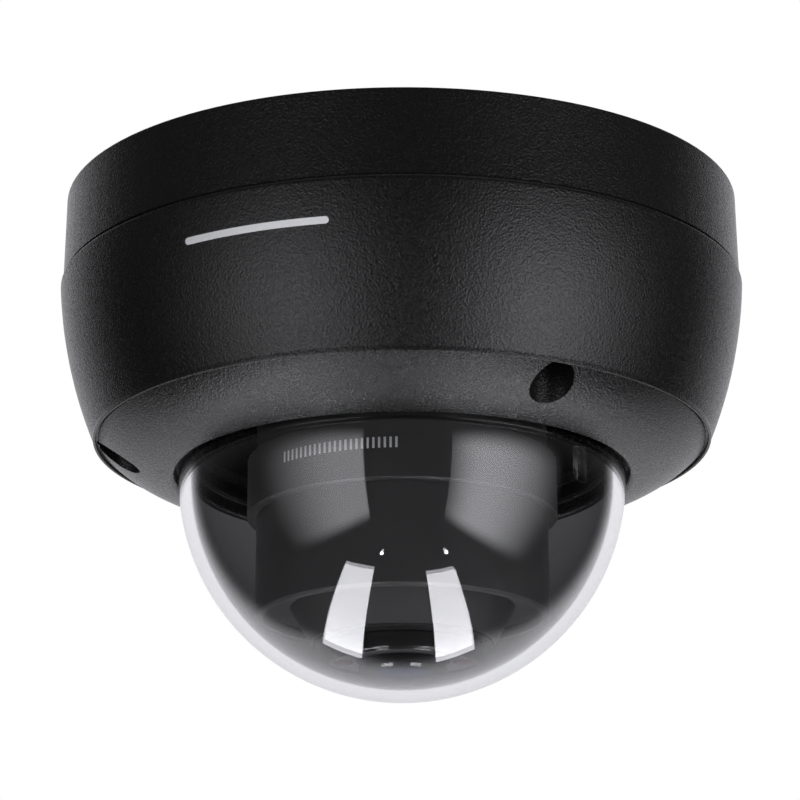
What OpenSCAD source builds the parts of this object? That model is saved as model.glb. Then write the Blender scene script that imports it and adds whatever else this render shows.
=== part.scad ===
// Ceiling dome camera with a lens unit that pans, tilts and rotates inside a clear bubble.
// The origin is the middle of the ceiling face. +Z points up into the ceiling, and the
// camera hangs in -Z with its front towards -Y. Depths count downwards from that face.

/* [Base] */
// Diameter of the base where it meets the cover
base_d = 110.2; // [98:0.2:134]
// How much narrower the base is at the ceiling, on the radius
base_draft = 0.4; // [0:0.1:1]
// Height of the base from the ceiling to the seam
base_h = 14.1; // [13:0.1:20]
// Thickness of the base's ceiling plate
floor_t = 2.6; // [1.8:0.1:3.2]
// Thickness of the base's side wall
base_wall = 2.9; // [2:0.1:4]
// Length of the rim that the base pushes into the cover
spigot_h = 4; // [2:0.5:6]
// Diameter of the circle of ceiling screw holes
mount_pcd = 80; // [78:1:84]
// Diameter of each ceiling screw hole
mount_hole_d = 4.5; // [3.5:0.1:5.5]
// Distance of the cable inlet behind the middle
inlet_y = 24; // [22:1:26]
// Diameter of the cable inlet
inlet_d = 18; // [12:1:20]
// Diameter of each cable passage in the grommet
passage_d = 5.6; // [3:0.1:6.4]

/* [Cover] */
// How far the cover stands out past the base, on the radius
cover_lip = 0.4; // [0:0.1:1]
// Height of the gap between base and cover
seam_h = 0.5; // [0.3:0.1:1]
// Height of the cover from the seam gap to its opening
cover_h = 31.8; // [29:0.1:39]
// Thickness of the cover's side wall
cover_wall = 2.8; // [2:0.1:3.4]
// Diameter of the beaded shoulder between the side wall and the face
shoulder_d = 99.8; // [97:0.2:120]
// Height of the shoulder above the opening
shoulder_rise = 6.1; // [5:0.1:8]
// How far the side wall bulges out from a straight cone
wall_bulge = 1.1; // [0.5:0.1:2]
// How far the face bulges out from a straight cone
face_bulge = 1.0; // [0.5:0.1:1.5]
// Height of the bead at the shoulder
bead_h = 0.5; // [0.3:0.1:0.8]
// Diameter of each screw well in the face
well_d = 7; // [6.4:0.1:8]
// Distance of a well's middle inside the shoulder
well_inset = 4.1; // [3.8:0.1:4.6]
// Depth of the screw heads' seats below the ceiling
seat_depth = 28; // [24:0.5:32]
// Thread diameter of the cover screws
cover_screw_d = 4; // [3:0.5:5]

/* [Bubble] */
// Outer diameter of the clear bubble
bubble_d = 72; // [60:0.5:74]
// Thickness of the bubble
bubble_wall = 2; // [1.5:0.1:3]
// Width of the bubble's flange past its wall
flange_w = 4.2; // [3:0.1:4.4]
// Thickness of the flange
flange_t = 2.2; // [1.5:0.1:2.6]
// Height of the straight skirt between the flange and the round part
skirt_h = 3; // [2:0.1:4]
// Gap around the bubble in the cover's opening
bubble_gap = 0.6; // [0.3:0.1:1]

/* [Turret] */
// Outer diameter of the turret drum
drum_d = 46.8; // [44:0.2:57]
// Wall of the turret drum
drum_wall = 1.4; // [1:0.1:1.8]
// How far the scale band stands out past the drum, on the radius
band_out = 1.5; // [0.6:0.1:2]
// Outer diameter of the tilting cradle
cradle_d = 27.8; // [27:0.2:28.6]
// Wall of the tilting cradle
cradle_wall = 1.3; // [1:0.1:1.4]
// Diameter of the glossy bezel round the lens
bezel_d = 26; // [25:0.2:27]
// Gap between the turret and the inside of the bubble
turret_gap = 1; // [0.6:0.1:2]
// Diameter of the hollow bearing that the turret pans on
bearing_d = 24; // [20:0.5:25]
// Diameter of the two tilt pivots
pivot_d = 5; // [4:0.2:6]

/* [Lens] */
// Thread diameter of the lens barrel
barrel_d = 12; // [10:0.2:12.4]
// Diameter of the barrel's head
head_d = 13.8; // [13:0.2:14.4]
// Diameter of the front lens
glass_d = 9.8; // [8:0.2:11]
// Diameter of each infra-red lamp's lens
lamp_d = 3.2; // [2:0.2:3.4]
// Distance of each lamp from the middle of the lens
lamp_x = 9.5; // [9.4:0.1:9.6]
// Travel of the infra-red filter slider
filter_travel = 6; // [5:0.1:6]

/* [Clearances] */
// Gap between pieces that move past each other
run_gap = 0.3; // [0.2:0.05:0.5]
// Gap on the radius of a pin that turns in a bore
pin_fit = 0.05; // [0.02:0.01:0.08]
// Gap on the radius round a screw's thread
thread_fit = 0.03; // [0.01:0.01:0.05]
// Gap on the radius round a screw's shank in a clearance hole
shank_gap = 0.3; // [0.2:0.05:0.5]

/* [Hidden] */

ROUND = 180;
FINE = 64;
SMALL = 36;
BUBBLE_STEPS = 45;
JOIN = 0.02;

// Colours
BLACK_COAT = "#1c1c1f";
BLACK_PLASTIC = "#232326";
GLOSS_BLACK = "#0d0d0f";
RUBBER = "#141414";
STEEL = "#b9bcc0";
BOARD_GREEN = "#1f5136";
CHIP = "#2b2d31";
CLEAR = [0.8, 0.85, 0.9, 0.35];

// Base
base_r = base_d / 2;
base_top_r = base_r - base_draft;
edge_round = 0.4;
cover_r = base_r + cover_lip;
seam_depth = base_h;
cover_top = base_h + seam_h;
spigot_gap = 0.4;
spigot_wall = 2;
spigot_step = 4;
base_in_r = base_r - base_wall;
mount_angles = [90, 210, 330];
mount_collar_w = 2;
mount_collar_h = 1.4;
plug_w = 16;
plug_h = 9;
grommet_lip = 2;
grommet_t = 1.2;
passage_x = 4.2;

// Cover
opening_depth = cover_top + cover_h;
opening_r = bubble_d / 2 + bubble_gap;
shoulder_r = shoulder_d / 2;
shoulder_depth = opening_depth - shoulder_rise;
spigot_r = cover_in_r(cover_top + spigot_h) - spigot_gap;
well_r = well_d / 2;
well_pcr = shoulder_r - well_inset;
well_angles = [-60, 60, 180];
tube_r = well_r + 1.5;
shelf_depth = opening_depth - 2.2;
lip_round = 0.8;
bead_top = shoulder_depth - 0.4;
groove_r = shoulder_r - bead_h;
groove_w = 0.4;
groove_up = 0.25;
face_start = [groove_r - groove_w, -shoulder_depth - 0.1];
face_end = [opening_r + lip_round, -opening_depth];

// Screws
screw_r = cover_screw_d / 2;
head_t = 2.4;
head_gap = 0.2;
seal_t = 0.8;
thread_top = floor_t + 3;

// Bubble
bubble_r = bubble_d / 2;
bubble_in_r = bubble_r - bubble_wall;
bubble_centre = opening_depth;
flange_r = bubble_r + flange_w;
flange_low = bubble_centre - skirt_h;
flange_top = flange_low - flange_t;
retainer_t = 1.8;
retainer_top = flange_top - retainer_t;
ear_r = 2.2;
ear_pcr = flange_r + 2.4;
ear_angles = [0, 120, 240];
retainer_screw_r = 0.9;
retainer_screw_l = 2.4;
lug_w = 2.6;
lug_h = 5.5;
lug_t = 0.7;
lug_angle = -35;
lug_drop = 0.4;

// Lanyard
lanyard_r = 0.6;
lanyard_depth = cover_top + spigot_h + 3.4;
lanyard_inset = 3.8;
lanyard_pcr = cover_in_r(lanyard_depth) - lanyard_inset;
lanyard_angles = [202, 278];
eye_wall = 1.1;
eye_post_r = 2.6;
eye_screw_r = 1;
eye_screw_l = 5;

// Main board
board_t = 1.6;
board_top = 9.4;
board_low = board_top + board_t;
board_hole_pcr = 24;
board_hole_angles = [45, 135, 225, 315];
board_screw_r = 1.25;
board_post_r = 2.6;
board_thread_top = 5;
post_r = 3.2;
post_pcr = drum_d / 2 + 6.6;
board_r = post_pcr + post_r + 1.3;
post_angles = [30, 150, 270];
post_low = 20;
processor_at = [-8, -6];
processor_w = 14;
processor_t = 1.4;
pad_t = 1.2;
transformer_at = [-2, -18];
transformer_size = [12, 9];
transformer_t = 4;
capacitor_x = [11, 18];
capacitor_y = -4;
capacitor_r = 3;
capacitor_h = 6;
connector_x = [-7, 7];
connector_y = 8;
connector_size = [10, 5];
connector_h = 5;
connector_wall = 0.8;
card_slot_at = [-23, -5];
card_slot_size = [13, 14];
card_slot_t = 1.8;
card_slot_wall = 0.8;
card_slot_skin = 0.5;

// Ribbon
ribbon_w = 8;
ribbon_t = 0.3;
socket_w = 4;
socket_t = 2.2;

// Reset switch
switch_at = [23, -14];
switch_w = 5;
switch_t = 3;
button_r = 1.4;
button_press = 0.25;
button_up = 2;
button_out = 1.2;

// Turret, seen from the ceiling downwards
tilt_depth = bubble_centre;
turret_reach = bubble_in_r - turret_gap;
bearing_r = bearing_d / 2;
bearing_in_r = bearing_r - 2.5;
turret_plate_t = 2.6;
turret_plate_low = post_low + turret_plate_t;
hub_r = 18;
turret_screw_r = 1.5;
turret_thread_top = 8;
friction_t = 0.6;
pan_plate_top = turret_plate_low + friction_t + 0.1;
pan_plate_t = 2.5;
pan_plate_low = pan_plate_top + pan_plate_t;
pan_plate_r = drum_d / 2 - 0.4;
retainer_ring_t = 1.8;
retainer_ring_top = pan_plate_low + run_gap;
retainer_ring_low = retainer_ring_top + retainer_ring_t;
drum_r = drum_d / 2;
drum_in_r = drum_r - drum_wall;
drum_low = tilt_depth + sqrt(turret_reach * turret_reach - drum_r * drum_r);
drum_flange_t = 1.4;
drum_screw_r = 1;
band_r = drum_r + band_out;
band_top = tilt_depth - 3.4;
band_low = tilt_depth + 7;
cradle_r = cradle_d / 2;
cradle_in_r = cradle_r - cradle_wall;
cradle_top = tilt_depth - 4;
bezel_r = bezel_d / 2;
bezel_low = tilt_depth + sqrt(turret_reach * turret_reach - bezel_r * bezel_r);
bezel_show = 3.3;
cradle_low = bezel_low - bezel_show;
nose_in_r = cradle_r + run_gap;
nose_top_r = nose_in_r + 3.7;
nose_low_r = nose_in_r + 0.5;
nose_top = drum_low - 1.8;
nose_low = cradle_low - 0.1;
slot_half = cradle_r + 0.5;
slot_top = tilt_depth - cradle_r;
boss_r = 4.6;
boss_out = cradle_r + 0.9;
washer_t = 0.2;
arm_in = boss_out + run_gap;
arm_t = 2;
arm_out = arm_in + arm_t;
arm_half_w = 6;
drum_flange_in_r = norm([arm_out, arm_half_w]) + 0.4;
drum_screw_pcr = (drum_flange_in_r + drum_in_r) / 2;
pivot_r = pivot_d / 2;
pivot_head_r = 4;
pivot_head_t = 1.8;
pivot_thread_r = 1.5;
pivot_drive_r = 1.5;
pivot_seat = arm_out + run_gap;

// Lens unit
flange_in_r = cradle_in_r - 2;
flange_up = 15.4;
flange_high = cradle_low - flange_up;
flange_deep = flange_high + 2;
carrier_r = cradle_in_r - run_gap;
neck_r = flange_in_r - run_gap;
neck_top = flange_high - run_gap;
carrier_top = flange_deep + run_gap;
bezel_top = cradle_low + 0.6;
bezel_wall = 1.4;
bezel_step = 0.35;
bezel_ledge_t = 0.6;
bezel_round = 0.5;
bezel_in_r = bezel_r - bezel_wall;
plate_recess = 0.5;
plate_low = bezel_low - plate_recess;
plate_t = 1;
plate_top = plate_low - plate_t;
plate_fit = 0.1;
barrel_r = barrel_d / 2;
head_r = head_d / 2;
head_low = tilt_depth + sqrt(turret_reach * turret_reach - head_r * head_r) - 0.6;
head_top = plate_low + 0.2;
glass_r = glass_d / 2;
glass_bulge = 0.9;
glass_seat = 0.5;
seal_out_r = head_r + 0.5;
mount_bore_gap = 0.3;
lens_mount_r = barrel_r + 2.3;
carrier_bore_r = lens_mount_r + mount_bore_gap;
rotation_ring_t = 1.7;
ring_screw_angles = [90, 270];
ring_screw_l = 2.4;
rotation_ring_top = neck_top - rotation_ring_t;
ring_screw_r = 0.7;
ring_head_r = 1.05;
ring_screw_pcr = (carrier_bore_r + neck_r) / 2;
mount_box_low = rotation_ring_top - 0.1;
mount_box_t = 4.9;
mount_box_top = mount_box_low - mount_box_t;
mount_box = [20, 13];
lens_mount_low = mount_box_low + 10;
sensor_size = [8, 7];
sensor_t = 1;
sensor_room = 0.8;
sensor_board_t = 1.2;
sensor_board_size = [18, 16];
sensor_board_top = mount_box_top - sensor_board_t;
barrel_top = rotation_ring_top + 2.5;
aperture_r = 3;

// Filter
filter_slot_top = mount_box_top + 2.7;
filter_slot_t = 1.2;
filter_t = 0.6;
filter_gap = (filter_slot_t - filter_t) / 2;
filter_w = 7.5;
filter_l = 12;
filter_window_r = 2.6;

// Lamps
lamp_board_t = 1;
lamp_board_top = plate_top - 2.2;
lamp_board_in_r = head_r + 0.7;
lamp_r = lamp_d / 2;
lamp_fit = 0.05;
lamp_gap = 0.2;
emitter_w = 2.2;
emitter_t = 0.6;

// Points on an arc from p to q that stands sag proud on the left of the way from p to q
function arc_points(p, q, sag, n = 20) =
    let (
        chord = q - p,
        c = norm(chord),
        u = chord / c,
        side = [-u[1], u[0]],
        r = (c * c / 4 + sag * sag) / (2 * sag),
        middle = (p + q) / 2 - side * (r - sag),
        half = asin(c / 2 / r)
    )
    [for (i = [0:n]) let (t = -half + 2 * half * i / n) middle + r * (side * cos(t) + u * sin(t))];

// Points on a quarter round of radius r about the point c, from angle a0 to angle a1
function round_points(c, r, a0, a1, n = 6) =
    [for (i = [0:n]) let (t = a0 + (a1 - a0) * i / n) c + r * [cos(t), sin(t)]];

// The same points from last to first
function reversed(list) = [for (i = [len(list) - 1:-1:0]) list[i]];

// Radius of the cover's inside at a depth between its top and its shoulder
function cover_in_r(depth) =
    let (
        share = (depth - cover_top) / (shoulder_depth - cover_top),
        steep = atan((cover_r - shoulder_r) / (shoulder_depth - cover_top))
    )
    cover_r - share * (cover_r - shoulder_r) + 4 * wall_bulge * share * (1 - share)
        - cover_wall / cos(steep);

// Moves its children down to a depth below the ceiling
module at_depth(depth) {
    translate([0, 0, -depth]) children();
}

// A round bar from one depth to a deeper one
module rod(r, top, low, fn = SMALL) {
    at_depth(low) cylinder(r = r, h = low - top, $fn = fn);
}

// A ring from one depth to a deeper one
module ring(r_out, r_in, top, low, fn = FINE) {
    rotate_extrude($fn = fn) translate([r_in, -low]) square([r_out - r_in, low - top]);
}

// A block of size [x, y] centred at a place, from one depth to a deeper one
module block(size, at, top, low) {
    translate([at[0] - size[0] / 2, at[1] - size[1] / 2, -low]) cube([size[0], size[1], low - top]);
}

// Copies its children to angles on a circle
module around(angles, pcr) {
    for (a = angles) rotate([0, 0, a]) translate([pcr, 0, 0]) children();
}

// A screw that points up, with its head below: the head's top face lies at seat
module screw_up(r, r_head, t_head, seat, tip, r_drive) {
    difference() {
        union() {
            rod(r, tip, seat + JOIN);
            rod(r_head, seat, seat + t_head);
        }
        at_depth(seat + t_head + 1) cylinder(r = r_drive, h = 1 + t_head * 0.6, $fn = 6);
    }
}

// Base

module base_section() {
    polygon(concat(
        [[0, 0]],
        round_points([base_top_r - edge_round, -edge_round], edge_round, 90, 0),
        [
            [base_r, -seam_depth],
            [spigot_r, -seam_depth],
            [spigot_r, -seam_depth - spigot_h],
            [spigot_r - spigot_wall, -seam_depth - spigot_h],
            [spigot_r - spigot_wall, -seam_depth + spigot_step],
            [base_in_r, -seam_depth + spigot_step + 2],
            [base_in_r, -floor_t],
            [0, -floor_t]
        ]));
}

module base_housing() {
    color(BLACK_COAT) difference() {
        union() {
            rotate_extrude($fn = ROUND) base_section();
            around(well_angles, well_pcr) rod(tube_r - 0.4, floor_t - JOIN, cover_top);
            around(post_angles, post_pcr) rod(post_r, floor_t - JOIN, post_low);
            around(board_hole_angles, board_hole_pcr) rod(board_post_r, floor_t - JOIN, board_top);
            around(mount_angles, mount_pcd / 2)
                rod(mount_hole_d / 2 + mount_collar_w, floor_t - JOIN, floor_t + mount_collar_h);
            around([lanyard_angles[0]], lanyard_pcr)
                rod(eye_post_r, floor_t - JOIN, lanyard_depth - lanyard_r);
            block([processor_w + 2, processor_w + 2], processor_at, floor_t - JOIN,
                board_top - processor_t - pad_t);
        }
        around(well_angles, well_pcr) rod(screw_r + thread_fit, thread_top, cover_top + 1);
        around(well_angles, well_pcr)
            rod(tube_r + spigot_gap, cover_top, seam_depth + spigot_h + 1);
        around(post_angles, post_pcr) rod(turret_screw_r + thread_fit, turret_thread_top, post_low + 1);
        around(board_hole_angles, board_hole_pcr)
            rod(board_screw_r + thread_fit, board_thread_top, board_top + 1);
        around(mount_angles, mount_pcd / 2) rod(mount_hole_d / 2, -1, floor_t + 3);
        translate([0, inlet_y, 0]) rod(inlet_d / 2, -1, floor_t + 1, FINE);
        translate([-plug_w / 2, base_in_r - 2, -plug_h]) cube([plug_w, 12, plug_h + 1]);
        around([lanyard_angles[0]], lanyard_pcr)
            rod(eye_screw_r + thread_fit, lanyard_depth - eye_screw_l - 1, lanyard_depth, 24);
    }
}

// Blanking plug in the side cable outlet, flush with the base's outside
module side_outlet_plug() {
    gap = 0.1;
    color(BLACK_PLASTIC) {
        intersection() {
            rotate_extrude($fn = ROUND) polygon([
                [base_in_r - 1.2, 0], [base_top_r - 0.1, 0], [base_r - 0.2, -seam_depth],
                [base_in_r - 1.2, -seam_depth]
            ]);
            translate([-plug_w / 2 + gap, 0, -plug_h + gap]) cube([plug_w - 2 * gap, base_d, plug_h - gap]);
        }
    }
}

// Rubber grommet with a passage for each cable
module cable_grommet() {
    body_r = inlet_d / 2 - 0.1;
    color(RUBBER) translate([0, inlet_y, 0]) difference() {
        union() {
            rod(body_r, 0.2, floor_t + JOIN, FINE);
            rod(body_r + grommet_lip, floor_t, floor_t + grommet_t, FINE);
        }
        for (side = [-1, 1])
            translate([side * passage_x, 0, 0]) rod(passage_d / 2, -1, floor_t + grommet_t + 1);
    }
}

// Cover

module cover_gasket() {
    color(RUBBER) ring(base_r - 0.7, spigot_r + 0.1, seam_depth, cover_top, ROUND);
}

function cover_outside() = concat(
    round_points([cover_r - edge_round, -cover_top - edge_round], edge_round, 90, 0),
    arc_points([cover_r, -cover_top - edge_round - 0.2], [shoulder_r + 0.05, -bead_top], wall_bulge),
    round_points([shoulder_r - bead_h / 2, -shoulder_depth - 0.15], bead_h / 2, 0, -180, 8),
    [[groove_r, -shoulder_depth + groove_up], [groove_r - groove_w, -shoulder_depth + groove_up]],
    arc_points(face_start, face_end, face_bulge),
    round_points([opening_r + lip_round, -opening_depth + lip_round], lip_round, -90, -180));

function cover_inside() = concat(
    [[opening_r, -shelf_depth], [flange_r + 0.4, -shelf_depth]],
    [[shoulder_r - cover_wall - 0.1, -shoulder_depth + 0.6]],
    arc_points([shoulder_r - cover_wall, -shoulder_depth + 1],
        [cover_r - cover_wall, -cover_top - edge_round], -wall_bulge),
    [[cover_r - cover_wall, -cover_top]]);

// Everything inside the cover's outer skin
module cover_envelope() {
    rotate_extrude($fn = ROUND)
        polygon(concat([[0, -cover_top]], cover_outside(), [[0, -shelf_depth]]));
}

module dome_cover() {
    color(BLACK_COAT) difference() {
        union() {
            rotate_extrude($fn = ROUND) polygon(concat(cover_outside(), cover_inside()));
            intersection() {
                cover_envelope();
                union() {
                    around(well_angles, well_pcr) rod(tube_r, cover_top, opening_depth);
                    around(ear_angles, ear_pcr) rod(ear_r, flange_top, opening_depth);
                    around([lanyard_angles[1]], lanyard_pcr)
                        rod(eye_post_r, lanyard_depth + lanyard_r, opening_depth);
                }
            }
        }
        around(well_angles, well_pcr) rod(well_r, seat_depth, opening_depth + 1);
        around(well_angles, well_pcr) rod(screw_r + shank_gap, cover_top - 1, seat_depth + 1);
        around(ear_angles, ear_pcr)
            rod(retainer_screw_r + thread_fit, flange_top - 1, flange_top + retainer_screw_l + 0.2, 24);
        around([lanyard_angles[1]], lanyard_pcr)
            rod(eye_screw_r + thread_fit, lanyard_depth, lanyard_depth + eye_screw_l + 1, 24);
    }
}

// Security screws deep in the wells, each with a pin in its drive
module cover_screws() {
    seat = seat_depth + seal_t;
    color(STEEL) around(well_angles, well_pcr) {
        screw_up(screw_r, well_r - head_gap, head_t, seat, thread_top + 0.5, screw_r);
        rod(0.6, seat, seat + head_t - 0.2, 24);
    }
}

module screw_seals() {
    color(RUBBER) around(well_angles, well_pcr) ring(well_r - head_gap, screw_r + 0.1, seat_depth,
        seat_depth + seal_t, SMALL);
}

// Bubble

// Points down the bubble's round part on a given radius, from its rim to its lowest point
function bubble_arc(r) =
    [for (i = [0:BUBBLE_STEPS]) let (t = 90 * i / BUBBLE_STEPS) [r * cos(t), -bubble_centre - r * sin(t)]];

module bubble() {
    color(CLEAR) union() {
        rotate_extrude($fn = ROUND) polygon(concat(
            [
                [bubble_in_r, -flange_top], [flange_r, -flange_top], [flange_r, -flange_low],
                [bubble_r, -flange_low]
            ],
            bubble_arc(bubble_r),
            reversed(bubble_arc(bubble_in_r))));
        intersection() {
            rotate_extrude($fn = ROUND) polygon(concat(
                bubble_arc(bubble_in_r + bubble_wall / 2),
                reversed(bubble_arc(bubble_in_r - lug_t))));
            rotate([0, 0, lug_angle]) translate([0, -lug_w / 2, -bubble_centre - lug_h - lug_drop])
                cube([bubble_r + 5, lug_w, lug_h]);
        }
    }
}

module bubble_gasket() {
    color(RUBBER) ring(flange_r - 0.2, bubble_r + 0.2, flange_low, shelf_depth, ROUND);
}

// Ring that clamps the bubble's flange, with an ear for each of its screws
module bubble_retainer() {
    color(BLACK_PLASTIC) difference() {
        union() {
            ring(flange_r, bubble_in_r + 0.8, retainer_top, flange_top, ROUND);
            around(ear_angles, ear_pcr) rod(ear_r, retainer_top, flange_top);
            around(ear_angles, flange_r - 2) translate([0, -ear_r + 0.3, -flange_top])
                cube([ear_pcr - flange_r + 2, 2 * ear_r - 0.6, retainer_t]);
        }
        around(ear_angles, ear_pcr) rod(retainer_screw_r + 0.1, retainer_top - 1, flange_top + 1, 24);
    }
}

// A screw that points down, with its head above: the head's lower face lies at seat
module screw_down(r, r_head, t_head, seat, tip, r_drive) {
    difference() {
        union() {
            rod(r, seat - JOIN, tip, 24);
            rod(r_head, seat - t_head, seat, 24);
        }
        at_depth(seat - t_head * 0.4) cylinder(r = r_drive, h = t_head, $fn = 6);
    }
}

module retainer_screws() {
    color(STEEL) around(ear_angles, ear_pcr)
        screw_down(retainer_screw_r, 1.7, 1.2, retainer_top, flange_top + retainer_screw_l, 0.7);
}

// Wire rope that holds the cover while its screws are out, with an eye at each end
module safety_lanyard() {
    color(STEEL) {
        rotate([0, 0, lanyard_angles[0] + 3])
            rotate_extrude(angle = lanyard_angles[1] - lanyard_angles[0] - 6, $fn = ROUND)
                translate([lanyard_pcr, -lanyard_depth]) circle(r = lanyard_r, $fn = 16);
        around(lanyard_angles, lanyard_pcr) ring(eye_screw_r + 0.1 + eye_wall, eye_screw_r + 0.1,
            lanyard_depth - lanyard_r, lanyard_depth + lanyard_r, SMALL);
    }
}

// One screw holds an eye under the base's post, and one holds the other on the cover's
module lanyard_screws() {
    color(STEEL) {
        around([lanyard_angles[0]], lanyard_pcr) screw_up(eye_screw_r, eye_post_r - 0.4, 1.2,
            lanyard_depth + lanyard_r, lanyard_depth - eye_screw_l, 0.7);
        around([lanyard_angles[1]], lanyard_pcr) screw_down(eye_screw_r, eye_post_r - 0.4, 1.2,
            lanyard_depth - lanyard_r, lanyard_depth + eye_screw_l, 0.7);
    }
}

// Electronics

module main_board() {
    color(BOARD_GREEN) difference() {
        rod(board_r, board_top, board_low, FINE);
        around(post_angles, post_pcr) rod(post_r + run_gap, board_top - 1, board_low + 1);
        around(board_hole_angles, board_hole_pcr)
            rod(board_screw_r + 0.15, board_top - 1, board_low + 1, 24);
        translate([0, inlet_y + 2, 0])
            rod(inlet_d / 2 + grommet_lip + 1, board_top - 1, board_low + 1);
        block([inlet_d + 2 * grommet_lip + 2, board_r], [0, inlet_y + 2 + board_r / 2],
            board_top - 1, board_low + 1);
    }
}

module board_screws() {
    color(STEEL) around(board_hole_angles, board_hole_pcr)
        screw_up(board_screw_r, 2.3, 1.4, board_low, board_thread_top + 0.5, 0.9);
}

module image_processor() {
    color(CHIP) block([processor_w, processor_w], processor_at, board_top - processor_t, board_top);
}

module thermal_pad() {
    color("#8fa3b5") block([processor_w, processor_w], processor_at,
        board_top - processor_t - pad_t, board_top - processor_t);
}

module network_transformer() {
    color(CHIP) block(transformer_size, transformer_at, board_low, board_low + transformer_t);
}

module capacitors() {
    color("#3a3f4a") for (x = capacitor_x)
        translate([x, capacitor_y, 0]) rod(capacitor_r, board_low, board_low + capacitor_h);
}

// Sockets for the power lead and the network lead, each an open box
module board_connectors() {
    inside = [for (width = connector_size) width - 2 * connector_wall];
    color("#e4e1d6") for (x = connector_x) difference() {
        block(connector_size, [x, connector_y], board_low, board_low + connector_h);
        block(inside, [x, connector_y], board_low + 1, board_low + connector_h + 1);
    }
}

module sd_card_slot() {
    inside = [card_slot_size[0] - 2 * card_slot_wall, card_slot_size[1]];
    color(STEEL) difference() {
        block(card_slot_size, card_slot_at, board_low, board_low + card_slot_t);
        block(inside, card_slot_at - [0, 1], board_low + card_slot_skin,
            board_low + card_slot_t - card_slot_skin);
    }
}

// Housing of the reset switch, with a bore for its button
module reset_switch() {
    color(CHIP) difference() {
        block([switch_w, switch_w], switch_at, board_low, board_low + switch_t);
        translate(switch_at) rod(button_r + pin_fit, board_low + switch_t - button_up - button_press - 0.1,
            board_low + switch_t + 1);
    }
}

module reset_button() {
    color("#8a2a22") translate(switch_at)
        rod(button_r, board_low + switch_t - button_up, board_low + switch_t + button_out);
}

// Flat ribbon from the board down through the hollow bearing
module sensor_flex() {
    socket_low = board_low + socket_t;
    color("#c98a3a") rotate([90, 0, 90]) linear_extrude(ribbon_w, center = true)
        polygon([
            [-socket_w / 2, -board_low], [socket_w / 2, -board_low], [socket_w / 2, -socket_low],
            [ribbon_t / 2, -socket_low], [ribbon_t / 2, -retainer_ring_low],
            [-ribbon_t / 2, -retainer_ring_low], [-ribbon_t / 2, -socket_low], [-socket_w / 2, -socket_low]
        ]);
}

// Turret, fixed part

module turret_base() {
    color(BLACK_PLASTIC) difference() {
        union() {
            translate([0, 0, -turret_plate_low]) linear_extrude(turret_plate_t) union() {
                circle(hub_r, $fn = FINE);
                around(post_angles, 0) translate([0, -post_r]) square([post_pcr, 2 * post_r]);
                around(post_angles, post_pcr) circle(post_r + 1, $fn = FINE);
            }
            rod(bearing_r, turret_plate_low - 1, retainer_ring_low, FINE);
        }
        rod(bearing_in_r, post_low - 1, retainer_ring_low + 1, FINE);
        around(post_angles, post_pcr) rod(turret_screw_r + 0.1, post_low - 1, turret_plate_low + 1);
    }
}

module turret_screws() {
    color(STEEL) around(post_angles, post_pcr)
        screw_up(turret_screw_r, 2.8, 1.8, turret_plate_low, turret_thread_top + 1, 1.2);
}

// Ring that drags on the pan plate, so that the turret stays where it is turned
module friction_ring() {
    color(RUBBER) ring(bearing_r + 3.6, bearing_r + 1, turret_plate_low, turret_plate_low + friction_t);
}

module pan_retainer() {
    color(BLACK_PLASTIC) ring(bearing_r + 2.4, bearing_r, retainer_ring_top, retainer_ring_low);
}

// Turret, panning part

// Plate that turns on the bearing, with two arms that carry the tilting cradle
module pan_bracket() {
    color(BLACK_PLASTIC) difference() {
        union() {
            rod(pan_plate_r, pan_plate_top, pan_plate_low, ROUND);
            for (side = [-1, 1]) half_turn(side) {
                translate([arm_in, -arm_half_w, -tilt_depth])
                    cube([arm_t, 2 * arm_half_w, tilt_depth - pan_plate_low + JOIN]);
                translate([arm_in, 0, -tilt_depth]) rotate([0, 90, 0])
                    cylinder(r = arm_half_w, h = arm_t, $fn = FINE);
            }
        }
        rod(bearing_r + pin_fit, pan_plate_top - 1, pan_plate_low + 1, FINE);
        for (side = [-1, 1]) half_turn(side) translate([arm_in - 1, 0, -tilt_depth]) rotate([0, 90, 0])
            cylinder(r = pivot_r + pin_fit, h = arm_t + 2, $fn = SMALL);
        around([90, 270], drum_screw_pcr) rod(drum_screw_r + thread_fit, pan_plate_top - 1,
            pan_plate_low + 1, 24);
    }
}

// Turns its children half a turn for the left side
module half_turn(side) {
    rotate([0, 0, side > 0 ? 0 : 180]) children();
}

// Liner round the lens unit: a drum with a recessed floor and a conical nose, slotted
// behind so that the lens unit can swing up
module turret_drum() {
    color(BLACK_PLASTIC) difference() {
        rotate_extrude($fn = ROUND) polygon([
            [drum_flange_in_r, -pan_plate_low], [drum_r, -pan_plate_low], [drum_r, -band_top],
            [band_r, -band_top - 1], [band_r, -band_low + 0.3], [band_r - 0.3, -band_low],
            [drum_r, -band_low], [drum_r, -drum_low + 0.4], [drum_r - 0.4, -drum_low],
            [drum_in_r, -drum_low], [drum_in_r, -nose_top], [nose_top_r, -nose_top],
            [nose_low_r, -nose_low], [nose_in_r, -nose_low], [nose_in_r, -nose_top + drum_flange_t],
            [drum_in_r, -nose_top + drum_flange_t], [drum_in_r, -pan_plate_low - drum_flange_t],
            [drum_flange_in_r, -pan_plate_low - drum_flange_t]
        ]);
        translate([-slot_half, 0, -nose_low - 1])
            cube([2 * slot_half, band_r + 1, nose_low + 1 - slot_top]);
        around([90, 270], drum_screw_pcr)
            rod(drum_screw_r + 0.1, pan_plate_low - 1, pan_plate_low + drum_flange_t + 1, 24);
    }
}

module drum_screws() {
    color(STEEL) around([90, 270], drum_screw_pcr)
        screw_up(drum_screw_r, 1.7, 1.2, pan_plate_low + drum_flange_t, pan_plate_top + 0.2, 0.6);
}

// Turret, tilting part

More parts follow.
